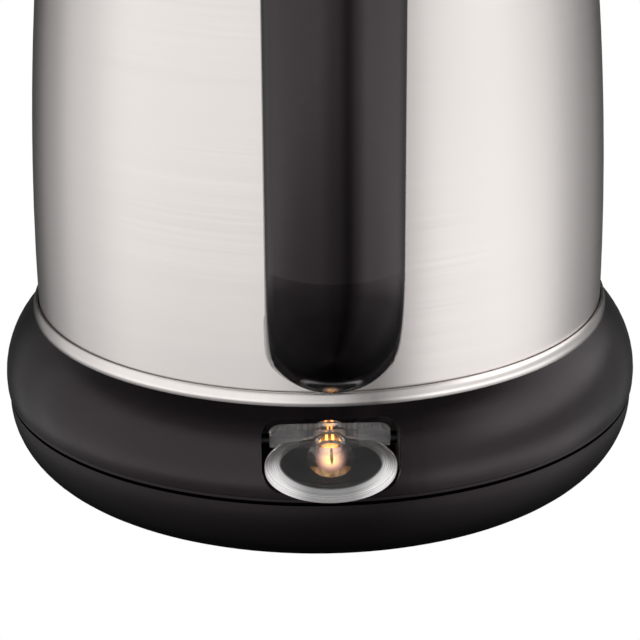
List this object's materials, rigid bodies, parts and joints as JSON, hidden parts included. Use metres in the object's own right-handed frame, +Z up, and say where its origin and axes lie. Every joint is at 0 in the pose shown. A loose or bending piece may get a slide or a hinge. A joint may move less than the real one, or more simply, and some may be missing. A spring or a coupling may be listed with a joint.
{
  "type": "electric kettle",
  "caption": "Cordless steel kettle that stands on a round power base, with a looped black handle, a clear rocker switch with a lamp under the handle, a beak spout and a hinged lid.",
  "frame": {"origin": "on the kettle's axis, in the plane that the base's feet stand on", "axes": "+Z up along the kettle's axis, +Y towards the spout, -Y towards the handle, +X to the right of someone who faces the handle"},
  "size_m": [0.1642, 0.2121, 0.2063],
  "materials": {
    "brushed_steel": "brushed round the vessel",
    "bright_steel": "polished",
    "plain_steel": "plain rolled",
    "bare_aluminium": "bare",
    "contact_brass": "plain",
    "gloss_black": "gloss moulded",
    "satin_black": "satin moulded",
    "inner_plastic": "plain moulded",
    "black_rubber": "matt",
    "clear_plastic": "clear moulded",
    "lamp_glass": "clear, lit amber from inside"
  },
  "bodies": {
    "power_base": {"power_base_shell": "satin_black", "power_base_plate": "satin_black", "base_feet": "black_rubber", "base_screws": "plain_steel", "base_connector": "inner_plastic", "base_contacts": "contact_brass", "cord_gland": "black_rubber"},
    "socket_rings": {"socket_contacts": "contact_brass"},
    "kettle": {"bottom_housing": "gloss_black", "bottom_cover": "satin_black", "cover_screws": "plain_steel", "trim_ring": "bright_steel", "heater_plate": "plain_steel", "heat_spreader": "bare_aluminium", "heating_element": "bare_aluminium", "control_body": "inner_plastic", "control_studs": "plain_steel", "bimetal_discs": "contact_brass", "contact_block": "inner_plastic", "switch_tray": "inner_plastic", "switch_pin": "bright_steel", "vessel_body": "brushed_steel", "spout": "brushed_steel", "filter_frame": "inner_plastic", "filter_mesh": "plain_steel", "steam_tube": "plain_steel", "steam_tube_seal": "black_rubber", "top_collar": "gloss_black", "lid_pin": "bright_steel", "handle_outer": "gloss_black", "handle_inner": "gloss_black", "handle_bosses": "plain_steel", "handle_screws": "plain_steel"},
    "switch": {"switch_rocker": "inner_plastic", "switch_paddle": "clear_plastic", "lamp_bulb": "lamp_glass", "lamp_electrodes": "plain_steel"},
    "lid": {"lid_shell": "gloss_black", "lid_cap": "brushed_steel", "lid_liner": "plain_steel", "lid_seal": "black_rubber", "lid_screws": "plain_steel"}
  },
  "joints": [
    {"name": "kettle_lift", "type": "slide", "parent": "power_base", "child": "socket_rings", "axis": [0, 0, 1], "range_m": [0, 0.12]},
    {"name": "kettle_swivel", "type": "hinge", "parent": "socket_rings", "child": "kettle", "pos_m": [0, 0, 0.025], "axis": [0, 0, 1], "continuous": true},
    {"name": "switch_rock", "type": "hinge", "parent": "kettle", "child": "switch", "pos_m": [0, -0.0615, 0.027], "axis": [-1, 0, 0], "range_deg": [0, 12]},
    {"name": "lid_hinge", "type": "hinge", "parent": "kettle", "child": "lid", "pos_m": [0, -0.06, 0.2016], "axis": [1, 0, 0], "range_deg": [0, 75]}
  ]
}
